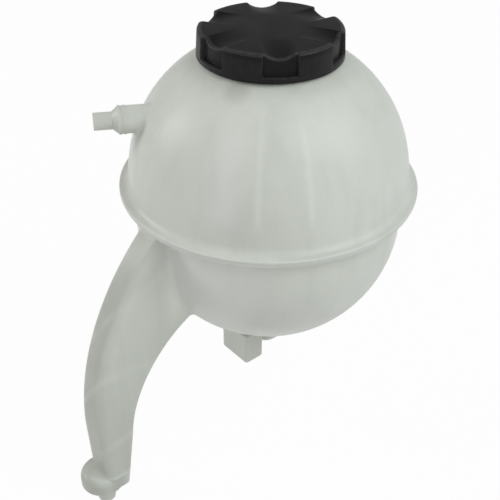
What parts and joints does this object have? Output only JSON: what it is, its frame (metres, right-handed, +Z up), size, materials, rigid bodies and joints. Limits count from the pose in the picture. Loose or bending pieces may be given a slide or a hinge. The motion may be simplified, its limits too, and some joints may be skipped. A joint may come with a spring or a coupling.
{
  "type": "coolant expansion tank",
  "caption": "Ball-shaped milky coolant expansion tank on a curved foot, with welded halves, hose spigots, a mounting hook and a black lobed screw cap that holds pressure and vacuum valves.",
  "frame": {"origin": "on the axis of the foot's locating pin, at the shoulder where the pin leaves the foot", "axes": "+Z up along the tank's own axis towards the cap, +X from the foot towards the tank, +Y towards the open side of the leg"},
  "size_m": [0.2115, 0.16, 0.2548],
  "materials": {
    "tank_plastic": "translucent milky polypropylene, satin",
    "cap_plastic": "black moulded nylon, fine satin grain",
    "valve_plastic": "dark grey glass-filled nylon",
    "seal_rubber": "matt black rubber",
    "spring_steel": "plain drawn wire"
  },
  "bodies": {
    "tank": {"upper_shell": "tank_plastic", "lower_shell": "tank_plastic"},
    "valve_insert": {"valve_housing": "valve_plastic", "neck_seal": "seal_rubber", "spring_lid": "valve_plastic", "pressure_spring": "spring_steel"},
    "cap": {"cap_shell": "cap_plastic", "retaining_ring": "cap_plastic"},
    "pressure_valve": {"pressure_plate": "valve_plastic", "pressure_pad": "seal_rubber", "vacuum_spring": "spring_steel"},
    "vacuum_valve": {"vacuum_valve": "valve_plastic", "stem_clip": "spring_steel"}
  },
  "joints": [
    {"name": "cap_lift", "type": "slide", "parent": "tank", "child": "valve_insert", "axis": [0, 0, 1], "range_m": [0, 0.005]},
    {"name": "cap_turn", "type": "hinge", "parent": "valve_insert", "child": "cap", "pos_m": [0.12, 0, 0.2388], "axis": [0, 0, 1], "range_deg": [0, 450]},
    {"name": "pressure_lift", "type": "slide", "parent": "valve_insert", "child": "pressure_valve", "axis": [0, 0, 1], "range_m": [0, 0.003], "stiffness_N_per_m": 3000, "deforming": ["pressure_spring"]},
    {"name": "vacuum_drop", "type": "slide", "parent": "pressure_valve", "child": "vacuum_valve", "axis": [0, 0, -1], "range_m": [0, 0.0015], "stiffness_N_per_m": 100, "deforming": ["vacuum_spring"]}
  ],
  "couplings": [
    {"joint": "cap_turn", "follows": "cap_lift", "rad_per_m": 1570.8}
  ]
}
